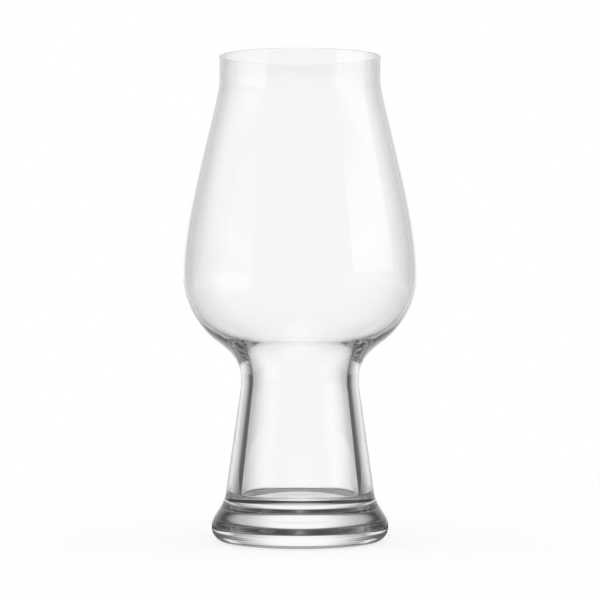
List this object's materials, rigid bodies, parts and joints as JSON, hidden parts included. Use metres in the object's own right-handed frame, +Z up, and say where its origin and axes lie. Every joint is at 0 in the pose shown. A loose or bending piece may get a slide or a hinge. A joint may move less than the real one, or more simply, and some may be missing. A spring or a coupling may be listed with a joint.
{
  "type": "ipa beer glass",
  "caption": "Tall clear beer glass with a thin bowl narrowing to a straight collar, a hollow stem that widens downwards and a thick round foot.",
  "frame": {"origin": "centre of the foot on the table", "axes": "+Z up along the axis of the glass, towards the rim"},
  "size_m": [0.0894, 0.0894, 0.185],
  "materials": {
    "crystal": "clear colourless crystal glass, fire polished"
  },
  "bodies": {
    "root": {"glass": "crystal"}
  },
  "joints": []
}
